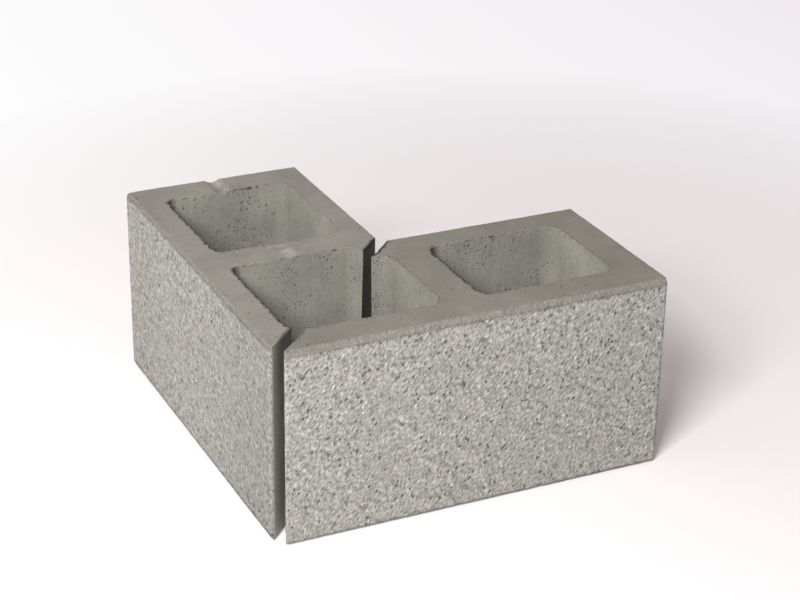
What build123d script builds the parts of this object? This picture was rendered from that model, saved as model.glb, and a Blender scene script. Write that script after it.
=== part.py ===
"""A mitred pair of hollow concrete fence blocks that turns a square corner.

Both blocks come out of one mould. A block has one textured outer face inside a chamfered frame, two
tapered cores, and a 45 degree mitre that runs through the second core. The left block stands as it
was cast. The right block is the same casting turned over about the mitre, so that its outer face
looks forward, and it stands loose beside the left one with a narrow dry joint between them.

Millimetres, +Z up. The outer faces look along -X (left block) and -Y (right block), and the origin is
under the middle of the pair, on the ground.
"""

from build123d import *

import os

# Outer size of one block, along its outer face, across it and upwards
LENGTH = 400.0
WIDTH = 190.0
HEIGHT = 200.0

# The chamfers along the outer face: the mould forms the tall one at the bottom of the casting
FRAME_DEPTH = 4.5
MOULD_FRAME_HEIGHT = 5.0
STRUCK_FRAME_HEIGHT = 2.5

# The corners of the block in plan, from the tip of the mitre round, and their upright edges' radii
CORNERS = (
    ((0, 0), 3.0),
    ((WIDTH, WIDTH), 3.0),
    ((WIDTH, LENGTH), 1.5),
    ((0, LENGTH), 2.5),
)

# Walls, webs and corner radius at the top of the casting, where the cores are widest
OUTER_WALL = 32.0
INNER_WALL = 26.0
END_WEB = 36.0
MIDDLE_WEB = 38.0
TOP_RADIUS = 11.0

# The cores taper: how much thicker the walls and webs are at the bottom of the casting
OUTER_DRAFT = 6.0
INNER_DRAFT = 5.0
WEB_DRAFT = 2.0
BOTTOM_RADIUS = 14.0

# The second core is as long as the first, and the mitre cuts its near corner off
CORE_LENGTH = 146.0
FIRST_CORE_END = LENGTH - END_WEB
SECOND_CORE_END = FIRST_CORE_END - CORE_LENGTH - MIDDLE_WEB

# A core's section at the bottom and top: level, outer wall, inner wall, web growth, corner radius
CORE_SECTIONS = (
    (0.0, OUTER_WALL + OUTER_DRAFT, INNER_WALL + INNER_DRAFT, WEB_DRAFT, BOTTOM_RADIUS),
    (HEIGHT, OUTER_WALL, INNER_WALL, 0.0, TOP_RADIUS),
)

# The bar that holds the cores leaves a shallow groove across each web, deepest at the plain end
BAR_WIDTH = 16.0
END_GROOVE_DEPTH = 3.0
MIDDLE_GROOVE_DEPTH = 1.2

# The dry joint: how far the right block stands from its place in a closed mitre
JOINT_X = 6.6
JOINT_Y = -9.9

# The plan box of the pair, whose middle is the origin, seen from the left block's mitre tip
CENTRE = Vector((LENGTH + JOINT_X) / 2, (LENGTH + JOINT_Y) / 2)


def casting() -> Part:
    """One mitred block as it leaves the mould, with the tip of its mitre at the origin."""
    with BuildPart() as block:
        with BuildSketch() as outline:
            with BuildLine():
                Polyline(*(corner for corner, radius in CORNERS), close=True)
            make_face()
            for corner, radius in CORNERS:
                fillet(outline.vertices().sort_by_distance(corner)[0], radius=radius)
        extrude(amount=HEIGHT)

        for edge, rise in ((0, MOULD_FRAME_HEIGHT), (HEIGHT, -STRUCK_FRAME_HEIGHT)):
            with BuildSketch(Plane.XZ.offset(-LENGTH)):
                with BuildLine():
                    Polyline((0, edge), (FRAME_DEPTH, edge), (0, edge + rise), close=True)
                make_face()
            extrude(amount=LENGTH, mode=Mode.SUBTRACT)

        for core_end in (FIRST_CORE_END, SECOND_CORE_END):
            for level, outer_wall, inner_wall, web_growth, radius in CORE_SECTIONS:
                across = WIDTH - outer_wall - inner_wall
                with BuildSketch(Plane.XY.offset(level)):
                    with Locations((outer_wall + across / 2, core_end - CORE_LENGTH / 2)):
                        RectangleRounded(across, CORE_LENGTH - 2 * web_growth, radius)
            loft(mode=Mode.SUBTRACT)

        for web_end, web, depth in (
            (LENGTH, END_WEB, END_GROOVE_DEPTH),
            (SECOND_CORE_END + MIDDLE_WEB, MIDDLE_WEB, MIDDLE_GROOVE_DEPTH),
        ):
            groove_radius = (BAR_WIDTH**2 / 4 + depth**2) / (2 * depth)
            with BuildSketch(Plane.XZ.offset(-web_end)):
                with Locations((WIDTH / 2, HEIGHT - depth + groove_radius)):
                    Circle(groove_radius)
            extrude(amount=web, mode=Mode.SUBTRACT)
    return block.part


MOULDED = casting()
MITRE_LINE = Axis((0, 0, HEIGHT / 2), (1, 1, 0))

with BuildPart() as left_block:
    add(MOULDED.moved(Location(-CENTRE)))

with BuildPart() as right_block:
    add(MOULDED.rotate(MITRE_LINE, 180).moved(Location(Vector(JOINT_X, JOINT_Y) - CENTRE)))

left_block.part.label = "left_mitred_block"
right_block.part.label = "right_mitred_block"

os.makedirs("parts", exist_ok=True)
export_step(left_block.part, "parts/left_mitred_block.step")
export_step(right_block.part, "parts/right_mitred_block.step")
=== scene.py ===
import math

import bpy
import numpy as np
from mathutils import Matrix, Vector
from mathutils.geometry import delaunay_2d_cdt


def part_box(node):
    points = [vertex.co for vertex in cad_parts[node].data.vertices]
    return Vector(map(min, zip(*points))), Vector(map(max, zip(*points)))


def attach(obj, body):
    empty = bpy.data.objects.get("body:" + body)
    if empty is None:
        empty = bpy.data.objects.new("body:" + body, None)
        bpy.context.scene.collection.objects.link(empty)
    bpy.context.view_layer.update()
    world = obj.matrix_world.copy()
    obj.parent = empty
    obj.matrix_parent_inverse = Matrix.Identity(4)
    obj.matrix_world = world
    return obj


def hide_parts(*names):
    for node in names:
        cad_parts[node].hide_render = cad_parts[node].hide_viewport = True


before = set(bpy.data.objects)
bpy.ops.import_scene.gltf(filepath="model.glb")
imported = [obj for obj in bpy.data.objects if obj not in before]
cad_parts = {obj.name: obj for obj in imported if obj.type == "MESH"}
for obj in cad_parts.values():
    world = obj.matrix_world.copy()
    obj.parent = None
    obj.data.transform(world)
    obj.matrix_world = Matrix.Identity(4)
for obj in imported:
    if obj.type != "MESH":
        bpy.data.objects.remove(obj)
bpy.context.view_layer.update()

# The looks of a mitred pair of hollow concrete blocks. Each block's skin is one closed mesh over its
# solid: a ring of columns runs round the plan outline and down the walls, and two caps close it. Metres.

SEED = 7

# One casting, seen from the tip of its mitre: y runs along the outer face and x runs inwards from it
LENGTH = 0.400
WIDTH = 0.190
HEIGHT = 0.200
TIP_RADIUS = 0.003
OUTER_END_RADIUS = 0.0025
INNER_END_RADIUS = 0.0015
CUT_ARRIS_RADIUS = 0.001

# How much of the arc that leads into the mitre has the look of the wall before it
TIP_SHARE = 0.8

# The chamfers beside the outer face, and how far their smoother look runs on over the face
FRAME_DEPTH = 0.0045
MOULD_FRAME_HEIGHT = 0.005
STRUCK_FRAME_HEIGHT = 0.0025
MOULD_FRAME_FADE = 0.0020
STRUCK_FRAME_FADE = 0.0008
FRAME_BOTTOM_EDGE = MOULD_FRAME_HEIGHT + MOULD_FRAME_FADE
FRAME_TOP_EDGE = HEIGHT - STRUCK_FRAME_HEIGHT - STRUCK_FRAME_FADE

# The cores: walls, webs and corner radius at the bottom and at the top of the casting
OUTER_WALL = (0.038, 0.032)
INNER_WALL = (0.031, 0.026)
WEB_GROWTH = (0.002, 0.0)
CORE_RADIUS = (0.014, 0.011)
CORE_LENGTH = 0.146
END_WEB = 0.036
MIDDLE_WEB = 0.038
FIRST_CORE_END = LENGTH - END_WEB
SECOND_CORE_END = FIRST_CORE_END - CORE_LENGTH - MIDDLE_WEB

# The grooves that the core bar leaves across the webs, which run on a little over the cores' rims
BAR_WIDTH = 0.016
END_GROOVE_DEPTH = 0.003
MIDDLE_GROOVE_DEPTH = 0.0012
GROOVE_OVERRUN = 0.005

# Where the casting's tip stands for each block, from the frame
LEFT_TIP = Vector((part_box("left_mitred_block")[0].x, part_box("left_mitred_block")[1].y - LENGTH))
RIGHT_TIP = Vector((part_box("right_mitred_block")[1].x - LENGTH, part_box("right_mitred_block")[0].y))

# The mesh's grain in plan: the steps along the outer face, the other walls, the corners and the caps
FACE_SPACING = 0.00135
WALL_SPACING = 0.0018
CORNER_SPACING = 0.0012
CAP_SPACING = 0.0026

# The levels of the other walls: close together at the rim, then fine down to a reach, then coarse
RIM_LEVELS = (0, 0.0008, 0.0018)
FINE_LEVEL = 0.003
COARSE_LEVEL = 0.007
FINE_REACH = 0.1

# The caps' points: rows along the chamfer, where the jittered grid begins, and what both keep clear
CREASE_ROWS = (0.0022, 0.0041, 0.0050)
GRID_START = 0.0072
GRID_JITTER = 0.3
ROW_CLEARANCE = 0.0007
GRID_CLEARANCE = 0.0014

# How far the arrises are worn round and chipped away on each kind of wall, and in which steps
WORN = {"outer": 0.0005, "mitre": 0.0009, "inner": 0.0008, "end": 0.0008, "core": 0.0006}
CHIPPED = {"outer": 0.0005, "mitre": 0.0016, "inner": 0.0010, "end": 0.0010, "core": 0.0018}
TURNED_MITRE_WORN = 0.0028
TURNED_MITRE_CHIPPED = 0.0048
KNOCKED_ACROSS = 0.0030
KNOCKED_DOWN = 0.0060
KNOCKED_REACH = 0.006
CHIP_REACH = 0.0018
ARC_ANGLES = np.radians([0, 30, 60])

# The lean of the streaks on the outer faces, from the level, and of the pores in the cores
STREAK_LEAN = math.radians(58)
PORE_LEAN = math.radians(35)

# No vertex lies nearer to the solid's surface than this, and a place is met within the slack
LEAST_DEPTH = 0.00002
SLACK = 0.0001


# Numbers that look random but are the same in each run

def lattice(corners, seed):
    """A repeatable number from -1 to 1 for each whole-number lattice corner."""
    i = corners.astype(np.int64)
    h = i[:, 0] * 374761393 + i[:, 1] * 668265263 + i[:, 2] * 1440662683 + seed * 1274126177
    h = (h ^ (h >> 13)) & 0xFFFFFFFF
    h = (h * 1103515245 + 12345) & 0xFFFFFFFF
    h = (h ^ (h >> 15)) & 0xFFFFFFFF
    h = (h * 69069 + 1) & 0xFFFFFFFF
    return ((h ^ (h >> 16)) & 0xFFFFFF) / 0x7FFFFF - 1.0


def noise(points, size, seed):
    """Smooth value noise from -1 to 1 whose lumps are about size across; size may differ by axis."""
    p = points / np.asarray(size)
    base = np.floor(p)
    f = p - base
    f = f * f * (3 - 2 * f)
    total = np.zeros(len(p))
    for corner in np.ndindex(2, 2, 2):
        weight = np.prod(np.where(corner, f, 1 - f), axis=1)
        total += weight * lattice(base + corner, seed)
    return total


def rough(points, size, seed, octaves=3):
    """Several sizes of noise added up, each half the size and half as strong as the last."""
    total = np.zeros(len(points))
    for octave in range(octaves):
        total += noise(points, np.asarray(size) / 2 ** octave, seed + octave) / 2 ** octave
    return total


def step_up(values, low, high):
    """A smooth step from 0 at the low value to 1 at the high one."""
    t = np.clip((values - low) / (high - low), 0, 1)
    return t * t * (3 - 2 * t)


# The plan outline

def corner_arc(before, corner, after, radius):
    """Where a rounded corner's arc begins and ends, its centre, and how far it turns."""
    back, ahead = before - corner, after - corner
    back, ahead = back / np.linalg.norm(back), ahead / np.linalg.norm(ahead)
    half = math.acos(np.clip(back @ ahead, -1, 1)) / 2
    reach = radius / math.tan(half)
    middle = back + ahead
    centre = corner + middle / np.linalg.norm(middle) * radius / math.sin(half)
    return corner + back * reach, corner + ahead * reach, centre, math.pi - 2 * half


def rounded_path(corners, counts=None):
    """A closed path round the corners (x, y, radius, spacing, side), with each corner rounded.
    Gives its points, the side that each belongs to, and the number of points of each stretch."""
    n = len(corners)
    place = [np.array(c[:2]) for c in corners]
    arcs = [corner_arc(place[i - 1], place[i], place[(i + 1) % n], corners[i][2]) for i in range(n)]
    made = counts or []
    points, sides = [], []
    for i, (start, end, centre, turn) in enumerate(arcs):
        radius, spacing, side = corners[i][2:]
        next_start = arcs[(i + 1) % n][0]
        if counts is None:
            run = np.linalg.norm(next_start - end)
            made.append((max(3, round(turn * radius / CORNER_SPACING)), max(1, round(run / spacing))))
        bends, steps = made[i]
        like_before = bends * (TIP_SHARE if side == "mitre" else 0.5)
        first = math.atan2(*(start - centre)[::-1])
        sweep = (math.atan2(*(end - centre)[::-1]) - first + math.pi) % (2 * math.pi) - math.pi
        for k in range(bends):
            angle = first + sweep * k / bends
            points.append(centre + radius * np.array([math.cos(angle), math.sin(angle)]))
            sides.append(corners[i - 1][4] if k < like_before else side)
        for k in range(steps):
            points.append(end + (next_start - end) * k / steps)
            sides.append(side)
    return np.array(points), sides, made


def outer_corners(end):
    """The block's outline with the cut-open core in it, at the bottom (0) or top (1) of the casting.
    The mitre cuts through the core's near corner, and the tangent there meets the wall at the bend."""
    wall, inner = OUTER_WALL[end], WIDTH - INNER_WALL[end]
    near = SECOND_CORE_END - CORE_LENGTH + WEB_GROWTH[end]
    far = SECOND_CORE_END - WEB_GROWTH[end]
    radius = CORE_RADIUS[end]
    centre = np.array([wall + radius, near + radius])
    middle = centre.mean()
    cut = middle - math.sqrt(radius ** 2 / 2 - (centre[0] - centre[1]) ** 2 / 4)
    spoke = (np.array([cut, cut]) - centre) / radius
    bend = cut + spoke[0] / spoke[1] * (cut - wall)
    return [
        (0, 0, TIP_RADIUS, WALL_SPACING, "mitre"),
        (cut, cut, CUT_ARRIS_RADIUS, WALL_SPACING, "core"),
        (wall, bend, radius * 0.75, WALL_SPACING, "core"),
        (wall, far, radius, WALL_SPACING, "core"),
        (inner, far, radius, WALL_SPACING, "core"),
        (inner, inner, CUT_ARRIS_RADIUS, WALL_SPACING, "mitre"),
        (WIDTH, WIDTH, TIP_RADIUS, WALL_SPACING, "inner"),
        (WIDTH, LENGTH, INNER_END_RADIUS, WALL_SPACING, "end"),
        (0, LENGTH, OUTER_END_RADIUS, FACE_SPACING, "outer"),
    ]


def core_corners(end):
    """The closed core's outline, turned the other way round, so that the concrete is on its left."""
    wall, inner = OUTER_WALL[end], WIDTH - INNER_WALL[end]
    near = FIRST_CORE_END - CORE_LENGTH + WEB_GROWTH[end]
    far = FIRST_CORE_END - WEB_GROWTH[end]
    places = ((wall, near), (wall, far), (inner, far), (inner, near))
    return [(x, y, CORE_RADIUS[end], WALL_SPACING, "core") for x, y in places]


def outward(points):
    """The direction out of the concrete at each point of a path that has the concrete on its left."""
    along = np.roll(points, -1, axis=0) - np.roll(points, 1, axis=0)
    along /= np.linalg.norm(along, axis=1)[:, None]
    return np.stack([along[:, 1], -along[:, 0]], axis=1)


# The caps: the top and bottom of the casting as heights over the plan

def frame_slope(points):
    """0 inside the chamfered edge, rising to 1 at the outer face."""
    return np.clip(1 - points[:, 0] / FRAME_DEPTH, 0, 1)


def top_height(points):
    """The struck side, with its narrow chamfer and the bar's groove across both webs."""
    height = HEIGHT - STRUCK_FRAME_HEIGHT * frame_slope(points)
    across = np.clip(1 - ((points[:, 0] - WIDTH / 2) / (BAR_WIDTH / 2)) ** 2, 0, 1)
    height -= across * END_GROOVE_DEPTH * (points[:, 1] > FIRST_CORE_END - GROOVE_OVERRUN)
    from_middle = abs(points[:, 1] - SECOND_CORE_END - MIDDLE_WEB / 2)
    return height - across * MIDDLE_GROOVE_DEPTH * (from_middle < MIDDLE_WEB / 2 + GROOVE_OVERRUN)


def bottom_height(points):
    """The mould's side, with its wide chamfer."""
    return MOULD_FRAME_HEIGHT * frame_slope(points)


def inside(points, rings):
    """Which points lie in the concrete, by the even-odd rule over all the rings."""
    odd = np.zeros(len(points), bool)
    for ring in rings:
        for a, b in zip(ring, np.roll(ring, -1, axis=0)):
            crosses = (a[1] > points[:, 1]) != (b[1] > points[:, 1])
            if a[1] != b[1]:
                at = a[0] + (points[:, 1] - a[1]) * (b[0] - a[0]) / (b[1] - a[1])
                odd ^= crosses & (points[:, 0] < at)
    return odd


def far_from(points, ring_points, distance):
    """Which points keep that distance from every point of the rings."""
    keep = np.ones(len(points), bool)
    at_once = 2000
    for start in range(0, len(points), at_once):
        part = points[start:start + at_once]
        gap = ((part[:, None, :] - ring_points[None, :, :]) ** 2).sum(2).min(1)
        keep[start:start + at_once] = gap > distance ** 2
    return keep


def cap_points(rings, seed):
    """Points inside the plan: rows along the chamfer and its crease, then a jittered grid."""
    rng = np.random.default_rng(seed)
    ring_points = np.concatenate(rings)
    along = np.arange(0, LENGTH, FACE_SPACING * 1.2)
    rows = np.concatenate([np.stack([np.full_like(along, x), along], 1) for x in CREASE_ROWS])
    xs, ys = np.meshgrid(np.arange(GRID_START, WIDTH, CAP_SPACING), np.arange(0, LENGTH, CAP_SPACING))
    grid = np.stack([xs.ravel(), ys.ravel()], 1)
    grid += rng.uniform(-GRID_JITTER, GRID_JITTER, grid.shape) * CAP_SPACING
    kept = []
    for points, clearance in ((rows, ROW_CLEARANCE), (grid, GRID_CLEARANCE)):
        points = points[inside(points, rings)]
        kept.append(points[far_from(points, ring_points, clearance)])
    return np.concatenate(kept)


def cap_faces(rings, inner_points):
    """Triangles over the plan that use every ring edge. Indices count the rings' points first."""
    flat = np.concatenate([*rings, inner_points])
    edges, start = [], 0
    for ring in rings:
        edges += [(start + i, start + (i + 1) % len(ring)) for i in range(len(ring))]
        start += len(ring)
    to_millimetres, merged_within = 1000.0, 1e-5
    made = delaunay_2d_cdt([Vector(p) * to_millimetres for p in flat], edges, [], 0, merged_within)
    lost = [made[0][i] for i, ids in enumerate(made[3]) if not ids]
    if lost:
        raise ValueError(f"the cap's rings cross themselves near {lost[:6]}, {len(lost)} times")
    origin = [ids[0] for ids in made[3]]
    faces = np.array([[origin[i] for i in face] for face in made[2]])
    centres = flat[faces].mean(axis=1)
    return faces[inside(centres, rings)]


# The walls

def levels(side, fine_at_top):
    """Heights of a wall's rows, as shares from the top (0) to the bottom (1)."""
    if side == "outer":
        return np.linspace(0, 1, round(HEIGHT / FACE_SPACING) + 1)
    fine = np.concatenate([RIM_LEVELS, np.arange(FINE_LEVEL, FINE_REACH, FINE_LEVEL)])
    coarse = np.linspace(FINE_REACH, HEIGHT, round((HEIGHT - FINE_REACH) / COARSE_LEVEL) + 1)
    shares = np.concatenate([fine, coarse]) / HEIGHT
    return shares if fine_at_top else 1 - shares[::-1]


def thickness(points, normals):
    """The distance from each point of a path to the nearest one that faces another way."""
    gap = np.linalg.norm(points[:, None, :] - points[None, :, :], axis=2)
    same_way = normals @ normals.T > 0.75
    gap[same_way] = WIDTH
    return gap.min(axis=1)


def arris_sizes(points, sides, turned, seed):
    """How far each column's edge is rounded or chipped away, across the cap and down the wall, and
    how much painted shade its chipped arris gets, from 0 to 1. Core rims that look right are the most
    ragged, the turned block's mitre is the most worn, and the other block's far corner is knocked off."""
    steps = np.linalg.norm(np.roll(points, -1, axis=0) - points, axis=1)
    along = np.concatenate([[0], np.cumsum(steps)[:-1]])
    line = np.stack([along, np.zeros_like(along), np.zeros_like(along)], 1)
    worn = WORN | {"mitre": TURNED_MITRE_WORN} if turned else WORN
    chipped = CHIPPED | {"mitre": TURNED_MITRE_CHIPPED} if turned else CHIPPED
    right = np.clip(outward(points)[:, 1 if turned else 0], 0, 1)
    in_core = np.array([s == "core" for s in sides])
    base = np.array([worn[s] for s in sides])
    depth = np.array([chipped[s] for s in sides]) * (1 + 0.8 * right * in_core)
    small = step_up(noise(line, 0.0034, seed), 0.20, 0.80)
    large = step_up(noise(line, 0.013, seed + 1), 0.45, 0.95)
    across = base * (1 + 0.3 * noise(line, 0.005, seed + 2)) + depth * (0.45 * small + 0.3 * large)
    down = base * (1 + 0.3 * noise(line, 0.004, seed + 3)) + depth * (0.6 * small + 0.3 * large)
    if not turned:
        from_corner = np.linalg.norm(points - np.array((0, LENGTH)), axis=1)
        knocked = np.exp(-(from_corner / KNOCKED_REACH) ** 2)
        across, down = across + KNOCKED_ACROSS * knocked, down + KNOCKED_DOWN * knocked
    across = np.minimum(across, 0.3 * thickness(points, outward(points)))
    return across, down, 0.45 + 0.30 * small + 0.10 * large


class Rim:
    """The top or bottom edge of a ring of walls, with the arris between the cap and the walls."""

    def __init__(self, points, sides, turned, height, into_wall, seed):
        self.points, self.out = points, outward(points)
        self.across, down, self.chip = arris_sizes(points, sides, turned, seed)
        self.ring = points - self.out * self.across[:, None]
        self.ring_height = height(self.ring)
        self.edge_height = height(points) + into_wall * down

    def arc_point(self, j, angle):
        """A point on column j's arris, at an angle from the cap round to the wall, and how much painted
        shade its chipped arris gets there.
        """
        share, drop = 1 - math.sin(angle), 1 - math.cos(angle)
        x, y = self.points[j] - self.out[j] * self.across[j] * share
        level = self.ring_height[j] + (self.edge_height[j] - self.ring_height[j]) * drop
        return (x, y, level), self.chip[j] * (0.7 + 0.6 * drop)


class Skin:
    """The vertices and faces of one block, in the casting's own coordinates."""

    def __init__(self):
        self.vertices, self.faces, self.zones, self.face_zones = [], [], [], []
        self.chips, self.headings = [], []

    def add_vertices(self, points, zone, chips=None, heading=(0.0, 0.0)):
        first = len(self.vertices)
        self.vertices += [tuple(p) for p in points]
        self.zones += [zone] * len(points)
        self.chips += chips or [0.0] * len(points)
        self.headings += [tuple(heading)] * len(points)
        return list(range(first, first + len(points)))

    def add_strip(self, left, right, zone):
        """Faces between two columns of vertices, which may have different numbers of rows."""
        if len(left) == len(right):
            for k in range(len(left) - 1):
                self.faces.append((left[k], left[k + 1], right[k + 1], right[k]))
                self.face_zones.append(zone)
            return
        height = [p[2] for p in self.vertices]
        i = j = 0
        while i < len(left) - 1 or j < len(right) - 1:
            down_left = j == len(right) - 1 or (
                i < len(left) - 1 and height[left[i + 1]] >= height[right[j + 1]])
            if down_left:
                self.faces.append((left[i], left[i + 1], right[j]))
                i += 1
            else:
                self.faces.append((left[i], right[j + 1], right[j]))
                j += 1
            self.face_zones.append(zone)


def wall_columns(skin, top, bottom, sides, fine_at_top, seed):
    """Adds one ring of columns. Gives the vertices at its top and bottom, and their plan points."""
    upper = Rim(top, sides, not fine_at_top, top_height, -1, seed)
    lower = Rim(bottom, sides, not fine_at_top, bottom_height, 1, seed + 50)
    columns = []
    for j, side in enumerate(sides):
        beside_face = side == "outer" or sides[j - 1] == "outer"
        column = [upper.arc_point(j, angle) for angle in ARC_ANGLES]
        for share in levels("outer" if beside_face else side, fine_at_top):
            x, y = top[j] + (bottom[j] - top[j]) * share
            level = upper.edge_height[j] + (lower.edge_height[j] - upper.edge_height[j]) * share
            chip = (upper.chip[j] * math.exp(-share * HEIGHT / CHIP_REACH)
                    + lower.chip[j] * math.exp(-(1 - share) * HEIGHT / CHIP_REACH))
            column.append(((x, y, level), chip))
        column += [lower.arc_point(j, angle) for angle in ARC_ANGLES[::-1]]
        points, chips = zip(*column)
        columns.append(skin.add_vertices(points, side, list(chips), upper.out[j]))
    for j, side in enumerate(sides):
        skin.add_strip(columns[j], columns[(j + 1) % len(columns)], side)
    return [c[0] for c in columns], [c[-1] for c in columns], upper.ring, lower.ring


def build_skin(fine_at_top, seed):
    """The whole skin of one casting: the walls outside and in the core, and both caps."""
    skin = Skin()
    top_ids, bottom_ids, top_rings, bottom_rings = [], [], [], []
    for number, corners in enumerate((outer_corners, core_corners)):
        top, sides, counts = rounded_path(corners(1))
        bottom, _, _ = rounded_path(corners(0), counts)
        upper, lower, ring_top, ring_bottom = wall_columns(
            skin, top, bottom, sides, fine_at_top, seed + 100 * number)
        top_ids += upper
        bottom_ids += lower
        top_rings.append(ring_top)
        bottom_rings.append(ring_bottom)
    for rings, ids, height, zone in (
        (top_rings, top_ids, top_height, "top"),
        (bottom_rings, bottom_ids, bottom_height, "bottom"),
    ):
        free = cap_points(rings, seed)
        free_ids = skin.add_vertices(np.column_stack([free, height(free)]), zone)
        ids = np.array(ids + free_ids)
        for a, b, c in cap_faces(rings, free):
            face = (ids[a], ids[b], ids[c]) if zone == "top" else (ids[a], ids[c], ids[b])
            skin.faces.append(tuple(int(i) for i in face))
            reach = max(skin.vertices[i][0] for i in face)
            skin.face_zones.append("frame" if reach < FRAME_DEPTH + SLACK else zone)
    for number, face in enumerate(skin.faces):
        middle = sum(skin.vertices[i][2] for i in face) / len(face)
        if skin.face_zones[number] == "outer" and not FRAME_BOTTOM_EDGE < middle < FRAME_TOP_EDGE:
            skin.face_zones[number] = "frame"
    return skin


# Relief: how deep each vertex is worn in below the solid

def vertex_normals(points, faces):
    """The outward direction at each vertex, from the faces round it by their areas."""
    normals = np.zeros_like(points)
    for size in (3, 4):
        same = np.array([f for f in faces if len(f) == size])
        if len(same) == 0:
            continue
        a, b, c = points[same[:, 0]], points[same[:, 1]], points[same[:, 2]]
        if size == 4:
            face_normals = np.cross(c - a, points[same[:, 3]] - b)
        else:
            face_normals = np.cross(b - a, c - a)
        for k in range(size):
            np.add.at(normals, same[:, k], face_normals)
    return normals / np.maximum(np.linalg.norm(normals, axis=1), 1e-12)[:, None]


def streaked(place):
    """Coordinates on the outer face: along the leaning streaks, and across them."""
    away, up = place[:, 1], place[:, 2]
    along = away * math.cos(STREAK_LEAN) + up * math.sin(STREAK_LEAN)
    across = -away * math.sin(STREAK_LEAN) + up * math.cos(STREAK_LEAN)
    return np.stack([place[:, 0], along, across], axis=1)


def blasted_relief(place, seed):
    """Leaning grains, soft lumps and scattered pits of the outer face."""
    leaning = streaked(place)
    grains = rough(leaning, (0.004, 0.0060, 0.0030), seed, 2)
    lumps = noise(place, 0.009, seed + 5)
    pits = step_up(noise(leaning, (0.006, 0.0044, 0.0030), seed + 9), 0.50, 0.90)
    return 0.00030 + 0.00016 * grains + 0.00008 * lumps + 0.0007 * pits


def cast_relief(place, seed):
    """Slight waves and sand of the plain cast surfaces."""
    waves = 0.00012 * (1 + noise(place, 0.03, seed))
    sand = 0.00005 * (1 + rough(place, 0.004, seed + 3, 2))
    return waves + sand


def core_relief(place, seed):
    """Upright drag marks, sand and pores of the cores' walls, most under the rim."""
    drags = 0.00014 * (1 + noise(place, (0.005, 0.005, 0.06), seed))
    sand = 0.00008 * (1 + rough(place, 0.005, seed + 3, 2))
    near_rim = np.exp(-(HEIGHT - place[:, 2]) / 0.008)
    pores = 0.0009 * step_up(noise(place, 0.0030, seed + 7) + 0.15 * near_rim, 0.78, 0.97)
    return drags + sand + pores


def worn_depth(place, zones, seed):
    """How deep each vertex lies below the solid's surface."""
    depth = cast_relief(place, seed)
    for zone, relief in (("outer", blasted_relief), ("core", core_relief)):
        depth[zones == zone] = relief(place[zones == zone], seed)
    return np.maximum(depth, LEAST_DEPTH)


# What the shaders are told about each vertex: dark lines and painted shade, the painted shade of chipped
# rims, pale rough patches and crowds of pores

def dark_edge_lines(cast, zones, broken):
    """Thin broken dark lines along the chamfers' edges and down the plain end's arris."""
    x, y, z = cast.T
    line, end_line = 0.0011, 0.0028
    on_cap = np.exp(-((x - FRAME_DEPTH - 0.001) / line) ** 2)
    on_face = np.exp(-((z - FRAME_TOP_EDGE) / line) ** 2) + np.exp(-((z - FRAME_BOTTOM_EDGE) / line) ** 2)
    lines_and_shade = np.where((zones == "top") | (zones == "bottom"), 0.24 * on_cap * broken, 0)
    lines_and_shade += np.where(zones == "outer", 0.62 * on_face * broken, 0)
    return lines_and_shade + np.where((zones == "outer") & (y > LENGTH - end_line), 0.45 * broken, 0)


def painted_mitre_shade(cast, zones, below, broken, turned):
    """Painted shade of the mitre's joint: over its inner half, over its outer half away from the tip, and
    under its rim.
    """
    x, y, z = cast.T
    inner_half = 0.56 + 0.12 * broken
    outer_half = 0.02 + (0.20 + 0.50 * np.exp((z - HEIGHT) / 0.035)) * step_up(x, 0.004, 0.022)
    lines_and_shade = np.where(x > WIDTH / 2, inner_half, outer_half)
    lines_and_shade += np.where(turned | (x > WIDTH / 2), 0.55 * np.exp(-below / 0.004), 0)
    return np.where(zones == "mitre", lines_and_shade, 0)


def painted_core_shade(cast, zones, below, right, ahead, turned):
    """Painted shade in the cores: in the corners, low down, behind the left block's outer wall, and under
    the rims of the walls that look to the right, away from the light. Those that look to the left, toward
    the light, get less, save a thin painted line on their rims that dims their highlight."""
    toward_light, corner = np.clip(-right, 0, 1), np.clip(2 * right * ahead, 0, 1)
    shade_amount = np.clip(right, 0, 1) * (0.45 + 0.45 * np.exp(-below / 0.020)) + 0.15 * corner
    shade_amount += (0.09 + 0.15 * step_up(below, 0.02, 0.12)) * (1 - toward_light)
    shade_amount += 0.30 * toward_light * np.exp(-below / 0.0012)
    shade_amount += 0.22 * step_up(below, 0.08, 0.16)
    beside = LENGTH if turned else cast[:, 0]
    behind_wall = np.exp(-(beside - OUTER_WALL[1]) / 0.018) * step_up(below, 0.01, 0.09)
    shade_amount += 0.38 * (1 - toward_light) * behind_wall
    return np.where(zones == "core", shade_amount, 0)


def painted_tip_shade(cast, zones, turned):
    """Painted shade in place of the light's falling off: a soft darkening of the outer face and the caps
    towards the mitre's tip.
    """
    face_shade, cap_shade, reach = (0.0, 0.16, 0.12) if turned else (0.23, 0.07, 0.20)
    y = cast[:, 1]
    on_face = np.where(zones == "outer", face_shade * (1 - step_up(y, 0.0, 0.22)), 0)
    flat = (zones == "top") | (zones == "bottom")
    return on_face + np.where(flat, cap_shade * (1 - step_up(y, 0.02, reach)), 0)


def all_lines_and_shade(cast, place, zones, right, ahead, turned, seed):
    """All the dark lines and painted shade on a block, from 0 to 1."""
    broken = 0.55 + 0.45 * noise(place, 0.004, seed + 31)
    below = HEIGHT - place[:, 2]
    lines_and_shade = dark_edge_lines(cast, zones, broken)
    lines_and_shade += painted_mitre_shade(cast, zones, below, broken, turned)
    lines_and_shade += painted_core_shade(cast, zones, below, right, ahead, turned)
    lines_and_shade += painted_tip_shade(cast, zones, turned)
    return np.clip(lines_and_shade, 0, 1)


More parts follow.
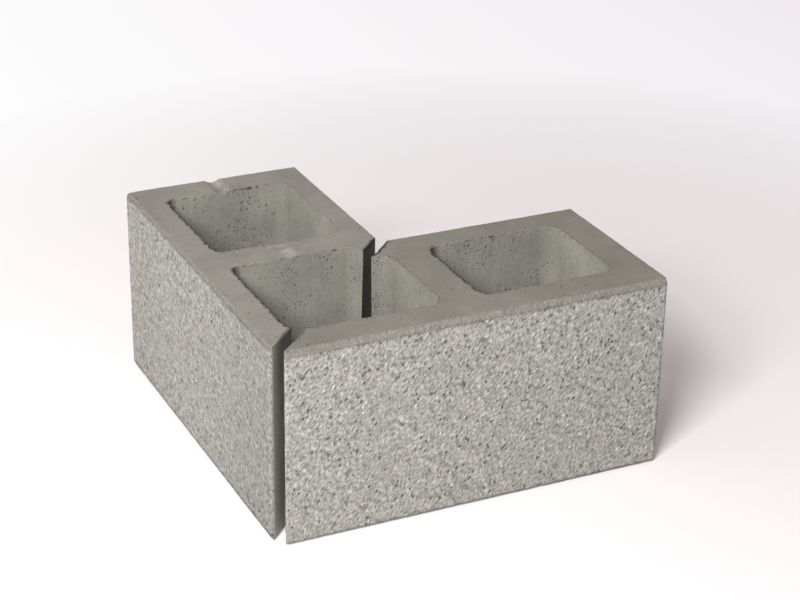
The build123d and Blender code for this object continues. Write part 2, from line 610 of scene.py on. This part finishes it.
def painted_chip_shade(place, zones, chips, right, seed):
    """How much painted shade the ragged chipped rims get: most in the rims of the walls that look to the
    right, away from the light, and along the mitre, in stretches elsewhere, and hardly at all on the walls
    that look to the left, toward the light."""
    stretches = 0.62 + 0.36 * step_up(noise(place, 0.035, seed + 61), -0.5, 0.6)
    in_core = np.where(right > 0.5, 1.35, stretches) - 0.55 * np.clip(-right, 0, 1)
    by_zone = np.where(zones == "core", in_core, np.where(zones == "mitre", 0.95, 0.35))
    return np.clip(chips * by_zone, 0, 1)


def pale_patches(cast, zones, seed):
    """Rough pale places where the core bar crossed the webs, and the mitre's outer half, paler towards its
    foot.
    """
    x, y, z = cast.T
    margin = 0.004
    near_bar = np.exp(-((x - WIDTH / 2) / 0.011) ** 2)
    on_end_web = y > FIRST_CORE_END - margin
    on_middle_web = abs(y - SECOND_CORE_END - MIDDLE_WEB / 2) < MIDDLE_WEB / 2 + margin
    ragged = step_up(noise(cast, 0.006, seed + 41) + 0.6 * near_bar, 0.25, 0.9)
    pale = np.where((zones == "top") & (on_end_web | on_middle_web), 0.55 * near_bar * ragged, 0)
    return pale + np.where((zones == "mitre") & (x < WIDTH / 2), 0.30 + 0.70 * (1 - z / HEIGHT), 0)


def porosity(place, zones, right, seed):
    """Pores crowd in clouds on the cores' walls and under the rims, but not on those that look left."""
    rim = np.exp(-(HEIGHT - place[:, 2]) / 0.010)
    clouds = step_up(rough(place, (0.03, 0.03, 0.045), seed + 51, 2), -0.30, 0.9)
    crowd = (clouds + 0.35 * rim) * (1 - 0.85 * np.clip(-right, 0, 1))
    return np.where(zones == "core", np.clip(crowd, 0, 1), 0.10 * clouds)


def tell_shaders(mesh, lay, told):
    """Keeps each vertex's place, wear and painted shade as attributes, which the materials read."""
    attribute = mesh.attributes.new("lay", "FLOAT_VECTOR", "POINT")
    attribute.data.foreach_set("vector", lay.astype(np.float32).ravel())
    for key, values in told.items():
        attribute = mesh.attributes.new(key, "FLOAT", "POINT")
        attribute.data.foreach_set("value", values.astype(np.float32))


def paint_zones(mesh, face_zones):
    """Gives each face its zone's material."""
    for key in ZONE_MATERIALS:
        mesh.materials.append(MATERIALS[key])
    index = {zone: i for i, key in enumerate(ZONE_MATERIALS) for zone in ZONE_MATERIALS[key]}
    mesh.polygons.foreach_set("material_index", [index[z] for z in face_zones])


def make_block(name, node, tip, turned, seed):
    """The skin of one block in the row frame. A turned block is the casting upside down, with x and
    y exchanged."""
    skin = build_skin(not turned, seed)
    cast, zones, headings = np.array(skin.vertices), np.array(skin.zones), np.array(skin.headings)
    place = cast.copy()
    if turned:
        place[:, 2] = HEIGHT - cast[:, 2]
    depth = worn_depth(place, zones, seed)
    worn = cast - vertex_normals(cast, skin.faces) * depth[:, None]
    worn[:, 2] = np.clip(worn[:, 2], 0, HEIGHT)
    if turned:
        worn = np.stack([worn[:, 1], worn[:, 0], HEIGHT - worn[:, 2]], axis=1)
    worn[:, :2] += np.array(tip)
    mesh = bpy.data.meshes.new(name)
    mesh.from_pydata([tuple(p) for p in worn], [], skin.faces)
    mesh.validate()
    mesh.polygons.foreach_set("use_smooth", [True] * len(mesh.polygons))
    right, ahead = (headings[:, 1], headings[:, 0]) if turned else headings.T
    tell_shaders(mesh, place + seed * 0.1, {
        "relief": depth * 1000,
        "lines_and_shade": all_lines_and_shade(cast, place, zones, right, ahead, turned, seed),
        "chip": painted_chip_shade(place, zones, np.array(skin.chips), right, seed),
        "pale": pale_patches(cast, zones, seed),
        "porous": porosity(place, zones, right, seed),
    })
    paint_zones(mesh, skin.face_zones)
    block = bpy.data.objects.new(name, mesh)
    bpy.context.scene.collection.objects.link(block)
    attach(block, "root")
    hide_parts(node)


# Materials

ZONE_MATERIALS = {
    "blasted": ("outer",),
    "framed": ("frame",),
    "struck": ("top",),
    "mould_side": ("bottom",),
    "formed": ("mitre", "inner", "end"),
    "core": ("core",),
}

# The grains' colours by their noise, from the dark hollows between them, which are partly cement and partly
# painted shade, to the pale stones
GRAIN_COLOURS = (
    (0.28, (0.07, 0.068, 0.060)),
    (0.43, (0.245, 0.240, 0.217)),
    (0.57, (0.365, 0.360, 0.333)),
    (0.72, (0.56, 0.555, 0.53)),
)
PATCH_COLOUR = (0.23, 0.226, 0.205)
OCHRE_COLOUR = (0.42, 0.365, 0.26)
GLINT_COLOUR = (0.66, 0.655, 0.63)
# Painted shade for the sunk places and the holes, also used for the dark lines and painted shade that the
# vertices carry
SUNK_SHADE = (0.11, 0.108, 0.098)
DARK_COLOUR = (0.06, 0.058, 0.053)
CEMENT_COLOUR = (0.312, 0.292, 0.250)
PALE_PATCH_COLOUR = (0.46, 0.45, 0.41)
FACE_TINT = (1.0, 1.015, 1.012)

BUMP_STRENGTH = 0.8
CONCRETE_SPECULAR = 0.25


class Nodes:
    """A short way to write a material's nodes."""

    def __init__(self, name):
        self.material = bpy.data.materials.new(name)
        self.material.use_nodes = True
        self.tree = self.material.node_tree
        self.shader = self.tree.nodes["Principled BSDF"]

    def put(self, target, value):
        if isinstance(value, bpy.types.NodeSocket):
            self.tree.links.new(value, target)
        else:
            target.default_value = value

    def add(self, kind, inputs=(), output=0, **settings):
        node = self.tree.nodes.new(kind)
        for key, value in settings.items():
            setattr(node, key, value)
        for key, value in dict(inputs).items():
            self.put(node.inputs[key], value)
        return node.outputs[output]

    def place(self):
        return self.add("ShaderNodeAttribute", output="Vector", attribute_name="lay")

    def turn_and_scale(self, vector, scale, lean=0.0, axis=(1.0, 0.0, 0.0)):
        turned = self.add("ShaderNodeVectorRotate", {"Vector": vector, "Axis": axis, "Angle": lean})
        return self.add("ShaderNodeMapping", {"Vector": turned, "Scale": scale})

    def noise(self, vector, scale, detail=3.0, roughness=0.55):
        return self.add("ShaderNodeTexNoise", {
            "Vector": vector, "Scale": scale, "Detail": detail, "Roughness": roughness})

    def told(self, name):
        return self.add("ShaderNodeAttribute", output="Fac", attribute_name=name)

    def spots(self, vector, scale, share, softness=0.12, crowd=None):
        """1 in the middle of a few cells and 0 elsewhere: share is how many cells have a spot, and
        crowd adds more of them."""
        distance = self.add("ShaderNodeTexVoronoi", {"Vector": vector, "Scale": scale}, output="Distance")
        cell = self.add("ShaderNodeTexVoronoi", {"Vector": vector, "Scale": scale}, output="Color")
        chance = self.add("ShaderNodeSeparateColor", {"Color": cell}, output="Red")
        if crowd is not None:
            chance = self.math("ADD", chance, crowd)
        size = self.ramp_value(chance, 1 - share, 1.0, 0.0, 0.42)
        edge = self.math("SUBTRACT", size, distance)
        return self.ramp_value(edge, 0.0, softness, 0.0, 1.0)

    def math(self, operation, a, b=0.0):
        node = self.tree.nodes.new("ShaderNodeMath")
        node.operation = operation
        self.put(node.inputs[0], a)
        self.put(node.inputs[1], b)
        return node.outputs[0]

    def ramp_value(self, value, low, high, to_low, to_high):
        return self.add("ShaderNodeMapRange", {
            "Value": value, "From Min": low, "From Max": high, "To Min": to_low, "To Max": to_high})

    def ramp(self, value, stops):
        node = self.tree.nodes.new("ShaderNodeValToRGB")
        elements = node.color_ramp.elements
        while len(elements) < len(stops):
            elements.new(0.5)
        for element, (position, colour) in zip(elements, stops):
            element.position = position
            element.color = (*colour, 1)
        self.put(node.inputs[0], value)
        return node.outputs[0]

    def mix(self, factor, a, b, blend="MIX"):
        node = self.tree.nodes.new("ShaderNodeMix")
        node.data_type = "RGBA"
        node.blend_type = blend
        self.put(node.inputs[0], factor)
        self.put(node.inputs[6], (*a, 1) if isinstance(a, tuple) else a)
        self.put(node.inputs[7], (*b, 1) if isinstance(b, tuple) else b)
        return node.outputs[2]

    def bump(self, height, distance):
        return self.add("ShaderNodeBump", {
            "Height": height, "Distance": distance, "Strength": BUMP_STRENGTH})

    def finish(self, colour, normal, roughness):
        self.put(self.shader.inputs["Base Color"], colour)
        self.put(self.shader.inputs["Normal"], normal)
        self.shader.inputs["Roughness"].default_value = roughness
        self.shader.inputs["Specular IOR Level"].default_value = CONCRETE_SPECULAR
        return self.material


def blasted_material(name, level, cement):
    """Fine aggregate laid bare by blasting, its grains drawn out into short leaning streaks. The
    chamfers hold more cement, which evens the colour out, and are darker by their level."""
    n = Nodes(name)
    place = n.place()
    leaning = n.turn_and_scale(place, (1.0, 0.52, 1.1), -STREAK_LEAN)
    less_drawn = n.turn_and_scale(place, (1.0, 0.7, 1.0), -STREAK_LEAN)
    grains = n.noise(leaning, scale=440.0, detail=3.0, roughness=0.62)
    colour = n.ramp(grains, GRAIN_COLOURS)
    patches = n.noise(place, scale=26.0)
    colour = n.mix(n.ramp_value(patches, 0.35, 0.65, 0.0, 0.20), colour, PATCH_COLOUR)
    clumps = n.noise(less_drawn, scale=120.0, detail=2.0)
    colour = n.mix(1.0, colour, n.ramp(clumps, [(0.32, (0.85,) * 3), (0.68, (1.16,) * 3)]), "MULTIPLY")
    ochre = n.spots(leaning, scale=340.0, share=0.16)
    colour = n.mix(n.math("MULTIPLY", ochre, 0.5), colour, OCHRE_COLOUR)
    glints = n.spots(n.turn_and_scale(place, (1.0, 0.5, 1.1), -STREAK_LEAN), scale=380.0, share=0.09)
    colour = n.mix(n.math("MULTIPLY", glints, 0.75), colour, GLINT_COLOUR)
    # Painted shade in the sunk places of the relief
    sunk_shade = n.ramp_value(n.told("relief"), 0.45, 1.0, 0.0, 0.60)
    colour = n.mix(sunk_shade, colour, SUNK_SHADE)
    # Painted shade in the holes
    dark = n.spots(less_drawn, scale=270.0, share=0.24)
    colour = n.mix(n.math("MULTIPLY", dark, 0.8), colour, DARK_COLOUR)
    colour = n.mix(cement, colour, CEMENT_COLOUR)
    colour = n.mix(1.0, colour, tuple(level * tint for tint in FACE_TINT), "MULTIPLY")
    # The attribute's dark lines and painted shade
    colour = n.mix(n.told("lines_and_shade"), colour, DARK_COLOUR)
    height = n.math("SUBTRACT", grains, n.math("MULTIPLY", dark, 0.5))
    return n.finish(colour, n.bump(height, distance=0.0010), roughness=0.9)


def shade(base, share):
    """A colour made lighter or darker by a share."""
    return tuple(c * share for c in base)


def skin_material(name, base, streak_scale, pore_share, pore_scale, mottle=0.16, grain=0.10):
    """Dense grey cement skin: soft mottling, sand, faint drag marks, scratches and pores."""
    n = Nodes(name)
    place = n.place()
    clouds = n.noise(place, scale=18.0, detail=4.0)
    tint = n.ramp(clouds, [(0.30, shade(base, 1 - mottle)), (0.70, shade(base, 1 + mottle))])
    drag = n.noise(n.add("ShaderNodeMapping", {"Vector": place, "Scale": streak_scale}), scale=60.0)
    colour = n.mix(n.ramp_value(drag, 0.35, 0.65, 0.0, 0.25), tint, shade(base, 0.82))
    sand = n.noise(place, scale=700.0, roughness=0.6)
    sand_levels = [(0.30, (1 - 2.2 * grain,) * 3), (0.70, (1 + 1.2 * grain,) * 3)]
    colour = n.mix(1.0, colour, n.ramp(sand, sand_levels), "MULTIPLY")
    brushed = n.turn_and_scale(place, (1.0, 0.16, 0.8), 0.5, (0.0, 0.0, 1.0))
    scratches = n.spots(brushed, scale=480.0, share=0.05)
    colour = n.mix(n.math("MULTIPLY", scratches, 0.45), colour, shade(base, 1.5))
    crowd = n.told("porous")
    slanted = n.turn_and_scale(place, (1.15, 1.15, 0.32), PORE_LEAN, (1.0, -1.0, 0.0))
    pores = n.spots(slanted, pore_scale, pore_share, crowd=n.math("MULTIPLY", crowd, 0.10))
    pinholes = n.spots(slanted, pore_scale * 1.5, pore_share, crowd=n.math("MULTIPLY", crowd, 0.38))
    shaded_pores = n.math("MAXIMUM", pores, n.math("MULTIPLY", pinholes, 0.75))
    pale_breakup = n.ramp_value(n.noise(place, scale=380.0), 0.35, 0.6, 0.2, 1.0)
    colour = n.mix(n.math("MULTIPLY", n.told("pale"), pale_breakup), colour, PALE_PATCH_COLOUR)
    # Painted shade in the pores
    colour = n.mix(n.math("MULTIPLY", shaded_pores, 0.8), colour, shade(base, 0.22))
    # Painted shade in the sunk places of the relief
    sunk_shade = n.ramp_value(n.told("relief"), 0.5, 1.1, 0.0, 0.7)
    colour = n.mix(sunk_shade, colour, shade(base, 0.25))
    grit = n.noise(place, scale=620.0, roughness=0.6)
    # Painted shade of the chipped rims, and the attribute's dark lines and painted shade
    ragged = n.math("ADD", n.told("chip"), n.math("MULTIPLY", grit, 0.9))
    chips = n.ramp_value(ragged, 0.80, 1.15, 0.0, 0.9)
    colour = n.mix(n.math("MAXIMUM", chips, n.told("lines_and_shade")), colour, shade(base, 0.12))
    height = n.math("SUBTRACT", n.math("MULTIPLY", sand, 0.35), n.math("MAXIMUM", shaded_pores, chips))
    height = n.math("ADD", height, n.math("MULTIPLY", drag, 0.4))
    return n.finish(colour, n.bump(height, distance=0.0006), roughness=0.92)


MATERIALS = {
    "blasted": blasted_material("blasted_face", level=1.0, cement=0.0),
    "framed": blasted_material("chamfer_skin", level=0.70, cement=0.55),
    "struck": skin_material("struck_skin", (0.253, 0.246, 0.217), (0.5, 1.6, 1.0), 0.012, 300.0),
    "mould_side": skin_material(
        "mould_side_skin", (0.219, 0.212, 0.181), (0.5, 1.6, 1.0), 0.014, 300.0, mottle=0.13),
    "formed": skin_material("formed_skin", (0.34, 0.33, 0.295), (1.5, 1.5, 0.25), 0.015, 300.0),
    "core": skin_material("core_skin", (0.316, 0.306, 0.269), (1.6, 1.6, 0.2), 0.008, 430.0),
}

make_block("left_block_skin", "left_mitred_block", LEFT_TIP, False, SEED)
make_block("right_block_skin", "right_mitred_block", RIGHT_TIP, True, SEED + 4)


# The pale floor, the light and the camera

# The floor is lit near the object, so that it keeps the shadow, and glows as the backdrop far from it. The
# glow is painted darker and lilac towards the right, a painted shade of the light's falloff
FLOOR_SIZE = 12.0
FLOOR_COLOUR = (0.94, 0.895, 0.895)
SHADOW_MIDDLE = (0.14, 0.12, 0.0)
FLOOR_FADE = (0.30, 0.95)
FLOOR_LIFT = 0.04
BACKDROP_LEFT = (1.0, 1.0, 1.0)
BACKDROP_RIGHT = (0.86, 0.815, 0.85)
BACKDROP_REACH = (-0.3, 1.3)

AMBIENT = 0.34
AMBIENT_COLOUR = (1.0, 0.92, 0.92, 1)

# The camera that was fitted to the blocks' edges
IMAGE_WIDTH = 800
FOCAL_PIXELS = 2064.3
SENSOR_WIDTH = 36.0
PITCH = math.radians(25.120)
YAW = math.radians(25.637)
ROLL = math.radians(-0.964)
CAMERA_PLACE = Vector((-0.8052, -1.71345, 1.0150))


def background_rays(tree):
    """1 for the rays that show the background, which are camera, glossy and transmission rays."""
    path = tree.nodes.new("ShaderNodeLightPath")
    shown = path.outputs["Is Camera Ray"]
    for kind in ("Is Glossy Ray", "Is Transmission Ray"):
        either = tree.nodes.new("ShaderNodeMath")
        either.operation = "MAXIMUM"
        tree.links.new(shown, either.inputs[0])
        tree.links.new(path.outputs[kind], either.inputs[1])
        shown = either.outputs[0]
    return shown


def floor_material():
    n = Nodes("pale_floor")
    seen = background_rays(n.tree)
    place = n.add("ShaderNodeTexCoord", output="Object")
    away = n.add("ShaderNodeVectorMath", {0: place, 1: SHADOW_MIDDLE}, output="Value", operation="DISTANCE")
    shown = n.math("MULTIPLY", seen, n.ramp_value(away, *FLOOR_FADE, 0.0, 1.0))
    x = n.add("ShaderNodeSeparateXYZ", {"Vector": place}, output="X")
    backdrop = n.mix(n.ramp_value(x, *BACKDROP_REACH, 0.0, 1.0), BACKDROP_LEFT, BACKDROP_RIGHT)
    n.put(n.shader.inputs["Base Color"], n.mix(shown, FLOOR_COLOUR, (0.0, 0.0, 0.0)))
    n.shader.inputs["Roughness"].default_value = 1.0
    n.shader.inputs["Specular IOR Level"].default_value = 0.0
    n.put(n.shader.inputs["Emission Color"], backdrop)
    lift = n.math("MULTIPLY", seen, FLOOR_LIFT)
    n.put(n.shader.inputs["Emission Strength"], n.math("MAXIMUM", shown, lift))
    return n.material


def make_floor():
    mesh = bpy.data.meshes.new("floor")
    corners = [(x * FLOOR_SIZE, y * FLOOR_SIZE, 0) for x, y in ((-1, -1), (1, -1), (1, 1), (-1, 1))]
    mesh.from_pydata(corners, [], [(0, 1, 2, 3)])
    mesh.materials.append(floor_material())
    floor = bpy.data.objects.new("floor", mesh)
    bpy.context.scene.collection.objects.link(floor)


def make_world():
    """Pale soft light from all round, which the background rays see as white."""
    world = bpy.data.worlds.new("studio")
    bpy.context.scene.world = world
    world.use_nodes = True
    tree = world.node_tree
    background = tree.nodes["Background"]
    strength = tree.nodes.new("ShaderNodeMapRange")
    tree.links.new(background_rays(tree), strength.inputs["Value"])
    strength.inputs["To Min"].default_value = AMBIENT
    strength.inputs["To Max"].default_value = 1.0
    tree.links.new(strength.outputs[0], background.inputs["Strength"])
    background.inputs["Color"].default_value = AMBIENT_COLOUR


def make_lamp(name, direction, distance, size, level):
    """A soft square lamp that looks at the object from the given direction. Its level is how bright
    it would make a white card at the object."""
    data = bpy.data.lights.new(name, "AREA")
    data.size = size
    data.energy = level * (math.pi * distance) ** 2
    lamp = bpy.data.objects.new(name, data)
    bpy.context.scene.collection.objects.link(lamp)
    lamp.visible_camera = False
    lamp.location = Vector(direction).normalized() * distance + Vector((0, 0, HEIGHT / 2))
    lamp.rotation_euler = Vector(direction).to_track_quat("Z", "Y").to_euler()


def make_camera():
    """The photograph's own view."""
    forward = Vector((math.sin(YAW) * math.cos(PITCH), math.cos(YAW) * math.cos(PITCH), -math.sin(PITCH)))
    level = Vector((math.cos(YAW), -math.sin(YAW), 0))
    down = forward.cross(level)
    right = level * math.cos(ROLL) + down * math.sin(ROLL)
    up = level * math.sin(ROLL) - down * math.cos(ROLL)
    data = bpy.data.cameras.new("camera")
    data.sensor_width = SENSOR_WIDTH
    data.lens = FOCAL_PIXELS * SENSOR_WIDTH / IMAGE_WIDTH
    data.clip_end = 50.0
    camera = bpy.data.objects.new("camera", data)
    bpy.context.scene.collection.objects.link(camera)
    turn = Matrix((right, up, -forward)).transposed().to_4x4()
    camera.matrix_world = Matrix.Translation(CAMERA_PLACE) @ turn
    bpy.context.scene.camera = camera


make_floor()
make_world()
make_lamp("key", direction=(-1.21, -1.31, 1.38), distance=2.27, size=0.8, level=1.20)
make_lamp("window", direction=(-1.0, 1.1, 0.8), distance=1.5, size=0.9, level=0.20)
make_camera()
bpy.context.scene.view_settings.view_transform = "Standard"
